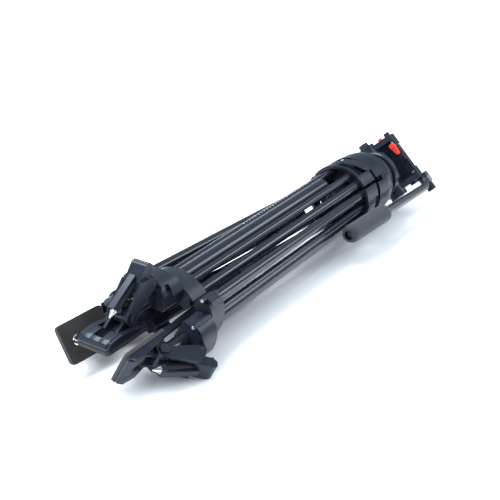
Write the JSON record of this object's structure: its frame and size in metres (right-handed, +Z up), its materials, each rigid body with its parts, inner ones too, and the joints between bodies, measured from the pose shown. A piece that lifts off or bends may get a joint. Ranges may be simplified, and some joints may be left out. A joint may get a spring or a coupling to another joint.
{
  "type": "tripod with fluid head",
  "caption": "Folded twin-tube video tripod with telescoping legs, flip locks, spiked rubber feet, ground spreader, levelling bowl and a pan and tilt head with a folded handle.",
  "frame": {"origin": "on the floor under the middle of the folded tripod's bounding box", "axes": "+X along the legs from the feet to the head, +Z up, +Y across, away from the side the handle lies on"},
  "size_m": [0.83, 0.2378, 0.1464],
  "materials": {
    "cast_black": "fine-grained moulding",
    "cast_blue_black": "satin moulding",
    "lever_grey": "worn satin moulding",
    "tube_black": "black anodised",
    "head_black": "satin paint",
    "plate_black": "black anodised",
    "knob_black": "ribbed moulding",
    "red_plastic": "smooth moulding",
    "pin_steel": "plain",
    "spike_steel": "plain",
    "sole_rubber": "matt",
    "grip_foam": "closed-cell foam",
    "bar_grey": "satin"
  },
  "bodies": {
    "crown": {"crown": "cast_black", "hinge_pins": "pin_steel"},
    "level_ball": {"half_ball": "head_black"},
    "tie_down": {"tie_down_knob": "knob_black"},
    "pan_base": {"pan_housing": "head_black"},
    "pan_lock": {"pan_knob": "knob_black"},
    "cradle": {"cradle": "head_black"},
    "plate": {"quick_plate": "plate_black"},
    "plate_clamp": {"plate_lever": "red_plastic"},
    "plate_release": {"plate_button": "red_plastic"},
    "balance": {"balance_knob": "knob_black"},
    "drag": {"drag_dial": "knob_black"},
    "tilt_lock": {"tilt_knob": "knob_black"},
    "handle": {"pan_bar": "bar_grey", "grip": "grip_foam"},
    "handle_lock": {"bar_knob": "knob_black"},
    "spreader_centre": {"spreader_hub": "cast_black"},
    "leg_a": {"leg_a_shoulder": "cast_black", "leg_a_upper_tubes": "tube_black", "leg_a_mid_clamp": "cast_black"},
    "leg_a_angle_lock": {"leg_a_angle_lever": "lever_grey"},
    "leg_a_mid_lock": {"leg_a_mid_lever": "lever_grey"},
    "leg_a_middle": {"leg_a_middle_tubes": "tube_black", "leg_a_lower_clamp": "cast_blue_black"},
    "leg_a_lower_lock": {"leg_a_lower_lever": "lever_grey"},
    "leg_a_lower": {"leg_a_lower_tube": "tube_black"},
    "leg_a_foot": {"leg_a_foot_pad": "cast_black", "leg_a_rubber_sole": "sole_rubber"},
    "leg_a_spike_swing": {"leg_a_spike_arm": "cast_black", "leg_a_spike": "spike_steel"},
    "leg_a_spreader": {"leg_a_spreader_arm": "cast_black"},
    "leg_b": {"leg_b_shoulder": "cast_black", "leg_b_upper_tubes": "tube_black", "leg_b_mid_clamp": "cast_black"},
    "leg_b_angle_lock": {"leg_b_angle_lever": "lever_grey"},
    "leg_b_mid_lock": {"leg_b_mid_lever": "lever_grey"},
    "leg_b_middle": {"leg_b_middle_tubes": "tube_black", "leg_b_lower_clamp": "cast_blue_black"},
    "leg_b_lower_lock": {"leg_b_lower_lever": "lever_grey"},
    "leg_b_lower": {"leg_b_lower_tube": "tube_black"},
    "leg_b_foot": {"leg_b_foot_pad": "cast_black", "leg_b_rubber_sole": "sole_rubber"},
    "leg_b_spike_swing": {"leg_b_spike_arm": "cast_black", "leg_b_spike": "spike_steel"},
    "leg_b_spreader": {"leg_b_spreader_arm": "cast_black"},
    "leg_c": {"leg_c_shoulder": "cast_black", "leg_c_upper_tubes": "tube_black", "leg_c_mid_clamp": "cast_black"},
    "leg_c_angle_lock": {"leg_c_angle_lever": "lever_grey"},
    "leg_c_mid_lock": {"leg_c_mid_lever": "lever_grey"},
    "leg_c_middle": {"leg_c_middle_tubes": "tube_black", "leg_c_lower_clamp": "cast_blue_black"},
    "leg_c_lower_lock": {"leg_c_lower_lever": "lever_grey"},
    "leg_c_lower": {"leg_c_lower_tube": "tube_black"},
    "leg_c_foot": {"leg_c_foot_pad": "cast_black", "leg_c_rubber_sole": "sole_rubber"},
    "leg_c_spike_swing": {"leg_c_spike_arm": "cast_black", "leg_c_spike": "spike_steel"},
    "leg_c_spreader": {"leg_c_spreader_arm": "cast_black"}
  },
  "joints": [
    {"name": "leg_a_spread", "type": "hinge", "parent": "crown", "child": "leg_a", "pos_m": [0.2385, 0, 0.12313], "axis": [0, 1, 0], "range_deg": [0, 25]},
    {"name": "leg_a_angle_release", "type": "hinge", "parent": "leg_a", "child": "leg_a_angle_lock", "pos_m": [0.21477, 0.0085, 0.13452], "axis": [-0.9982, 0, -0.0602], "range_deg": [0, 30]},
    {"name": "leg_a_mid_flip", "type": "hinge", "parent": "leg_a", "child": "leg_a_mid_lock", "pos_m": [-0.24744, 0.0449, 0.0743], "axis": [-0.9982, 0, -0.0602], "range_deg": [0, 28]},
    {"name": "leg_a_middle_slide", "type": "slide", "parent": "leg_a", "child": "leg_a_middle", "axis": [-0.9982, 0, -0.0602], "range_m": [0, 0.34]},
    {"name": "leg_a_lower_flip", "type": "hinge", "parent": "leg_a_middle", "child": "leg_a_lower_lock", "pos_m": [-0.28249, 0.031, 0.09072], "axis": [-0.9982, 0, -0.0602], "range_deg": [0, 70]},
    {"name": "leg_a_lower_slide", "type": "slide", "parent": "leg_a_middle", "child": "leg_a_lower", "axis": [-0.9982, 0, -0.0602], "range_m": [0, 0.33]},
    {"name": "leg_a_foot_turn", "type": "hinge", "parent": "leg_a_lower", "child": "leg_a_foot", "pos_m": [-0.35219, 0, 0.08351], "axis": [0, 1, 0], "range_deg": [0, 50]},
    {"name": "leg_a_spike_turn", "type": "hinge", "parent": "leg_a_lower", "child": "leg_a_spike_swing", "pos_m": [-0.35219, 0, 0.08351], "axis": [0, 1, 0], "range_deg": [-15, 2]},
    {"name": "leg_a_spreader_fold", "type": "hinge", "parent": "leg_a_lower", "child": "leg_a_spreader", "pos_m": [-0.32984, 0, 0.06182], "axis": [0, 1, 0], "range_deg": [-1, 41]},
    {"name": "leg_b_spread", "type": "hinge", "parent": "crown", "child": "leg_b", "pos_m": [0.2385, -0.0407, 0.05263], "axis": [0, -0.5, 0.866], "range_deg": [0, 3]},
    {"name": "leg_b_angle_release", "type": "hinge", "parent": "leg_b", "child": "leg_b_angle_lock", "pos_m": [0.21615, -0.057, 0.05304], "axis": [-0.9988, -0.0423, -0.0244], "range_deg": [0, 30]},
    {"name": "leg_b_mid_flip", "type": "hinge", "parent": "leg_b", "child": "leg_b_mid_lock", "pos_m": [-0.24987, -0.06693, 0.08933], "axis": [-0.9988, -0.0423, -0.0244], "range_deg": [0, 75]},
    {"name": "leg_b_middle_slide", "type": "slide", "parent": "leg_b", "child": "leg_b_middle", "axis": [-0.9988, -0.0423, -0.0244], "range_m": [0, 0.34]},
    {"name": "leg_b_lower_flip", "type": "hinge", "parent": "leg_b_middle", "child": "leg_b_lower_lock", "pos_m": [-0.28293, -0.07742, 0.06723], "axis": [-0.9988, -0.0423, -0.0244], "range_deg": [0, 70]},
    {"name": "leg_b_lower_slide", "type": "slide", "parent": "leg_b_middle", "child": "leg_b_lower", "axis": [-0.9988, -0.0423, -0.0244], "range_m": [0, 0.33]},
    {"name": "leg_b_foot_turn", "type": "hinge", "parent": "leg_b_lower", "child": "leg_b_foot", "pos_m": [-0.35299, -0.06229, 0.04017], "axis": [0, -0.5, 0.866], "range_deg": [0, 50]},
    {"name": "leg_b_spike_turn", "type": "hinge", "parent": "leg_b_lower", "child": "leg_b_spike_swing", "pos_m": [-0.35299, -0.06229, 0.04017], "axis": [0, -0.5, 0.866], "range_deg": [-15, 2]},
    {"name": "leg_b_spreader_fold", "type": "hinge", "parent": "leg_b_lower", "child": "leg_b_spreader", "pos_m": [-0.33314, -0.04151, 0.05217], "axis": [0, -0.5, 0.866], "range_deg": [-1, 5.8]},
    {"name": "leg_c_spread", "type": "hinge", "parent": "crown", "child": "leg_c", "pos_m": [0.2385, 0.0407, 0.05263], "axis": [0, -0.5, -0.866], "range_deg": [0, 18]},
    {"name": "leg_c_angle_release", "type": "hinge", "parent": "leg_c", "child": "leg_c_angle_lock", "pos_m": [0.21615, 0.0485, 0.03832], "axis": [-0.9988, 0.0423, -0.0244], "range_deg": [0, 30]},
    {"name": "leg_c_mid_flip", "type": "hinge", "parent": "leg_c", "child": "leg_c_mid_lock", "pos_m": [-0.24987, 0.02203, 0.01157], "axis": [-0.9988, 0.0423, -0.0244], "range_deg": [0, 75]},
    {"name": "leg_c_middle_slide", "type": "slide", "parent": "leg_c", "child": "leg_c_middle", "axis": [-0.9988, 0.0423, -0.0244], "range_m": [0, 0.34]},
    {"name": "leg_c_lower_flip", "type": "hinge", "parent": "leg_c_middle", "child": "leg_c_lower_lock", "pos_m": [-0.28293, 0.04642, 0.01353], "axis": [-0.9988, 0.0423, -0.0244], "range_deg": [0, 70]},
    {"name": "leg_c_lower_slide", "type": "slide", "parent": "leg_c_middle", "child": "leg_c_lower", "axis": [-0.9988, 0.0423, -0.0244], "range_m": [0, 0.33]},
    {"name": "leg_c_foot_turn", "type": "hinge", "parent": "leg_c_lower", "child": "leg_c_foot", "pos_m": [-0.35299, 0.06229, 0.04017], "axis": [0, -0.5, -0.866], "range_deg": [0, 50]},
    {"name": "leg_c_spike_turn", "type": "hinge", "parent": "leg_c_lower", "child": "leg_c_spike_swing", "pos_m": [-0.35299, 0.06229, 0.04017], "axis": [0, -0.5, -0.866], "range_deg": [-15, 2]},
    {"name": "leg_c_spreader_fold", "type": "hinge", "parent": "leg_c_lower", "child": "leg_c_spreader", "pos_m": [-0.33314, 0.04151, 0.05217], "axis": [0, -0.5, -0.866], "range_deg": [-1, 29.8]},
    {"name": "spreader_centre_turn", "type": "hinge", "parent": "leg_a_spreader", "child": "spreader_centre", "pos_m": [-0.1165, 0, 0.05413], "axis": [0, 1, 0], "range_deg": [-66, 1]},
    {"name": "bowl_level", "type": "hinge", "parent": "crown", "child": "level_ball", "pos_m": [0.3175, 0, 0.07613], "axis": [0, 1, 0], "range_deg": [-4, 4]},
    {"name": "tie_down_turn", "type": "hinge", "parent": "level_ball", "child": "tie_down", "pos_m": [0.2465, 0, 0.07613], "axis": [1, 0, 0], "range_deg": [0, 180]},
    {"name": "pan", "type": "hinge", "parent": "level_ball", "child": "pan_base", "pos_m": [0.3315, 0, 0.07613], "axis": [1, 0, 0], "continuous": true},
    {"name": "pan_lock_turn", "type": "hinge", "parent": "pan_base", "child": "pan_lock", "pos_m": [0.337, 0.03535, 0.04078], "axis": [0, 0.7071, -0.7071], "range_deg": [0, 180]},
    {"name": "tilt", "type": "hinge", "parent": "pan_base", "child": "cradle", "pos_m": [0.3595, 0, 0.07613], "axis": [0, 0.7071, 0.7071], "range_deg": [0, 40]},
    {"name": "drag_turn", "type": "hinge", "parent": "pan_base", "child": "drag", "pos_m": [0.3595, 0.03606, 0.11219], "axis": [0, -0.7071, -0.7071], "range_deg": [0, 180]},
    {"name": "tilt_lock_turn", "type": "hinge", "parent": "pan_base", "child": "tilt_lock", "pos_m": [0.3595, 0.04101, 0.11714], "axis": [0, -0.7071, -0.7071], "range_deg": [0, 180]},
    {"name": "plate_slide", "type": "slide", "parent": "cradle", "child": "plate", "axis": [0, 0.7071, -0.7071], "range_m": [-0.02, 0.02]},
    {"name": "plate_clamp_turn", "type": "hinge", "parent": "cradle", "child": "plate_clamp", "pos_m": [0.3835, -0.00495, 0.12068], "axis": [-1, 0, 0], "range_deg": [0, 50]},
    {"name": "plate_release_press", "type": "slide", "parent": "cradle", "child": "plate_release", "axis": [0, -0.7071, -0.7071], "range_m": [0, 0.0015], "stiffness_N_per_m": 600, "springref_m": -0.0015},
    {"name": "balance_turn", "type": "hinge", "parent": "cradle", "child": "balance", "pos_m": [0.3955, 0.01379, 0.13588], "axis": [0, -0.7071, -0.7071], "range_deg": [0, 180]},
    {"name": "handle_fold", "type": "hinge", "parent": "cradle", "child": "handle", "pos_m": [0.4035, -0.07283, 0.05704], "axis": [0, 0.7071, 0.7071], "range_deg": [0, 110]},
    {"name": "handle_lock_turn", "type": "hinge", "parent": "cradle", "child": "handle_lock", "pos_m": [0.4035, -0.0792, 0.05067], "axis": [0, -0.7071, -0.7071], "range_deg": [0, 180]}
  ],
  "couplings": [
    {"joint": "leg_a_spreader_fold", "follows": "leg_a_spread", "ratio": 1.6},
    {"joint": "leg_b_spreader_fold", "follows": "leg_b_spread", "ratio": 1.6},
    {"joint": "leg_c_spreader_fold", "follows": "leg_c_spread", "ratio": 1.6},
    {"joint": "spreader_centre_turn", "follows": "leg_a_spread", "ratio": -2.6}
  ]
}
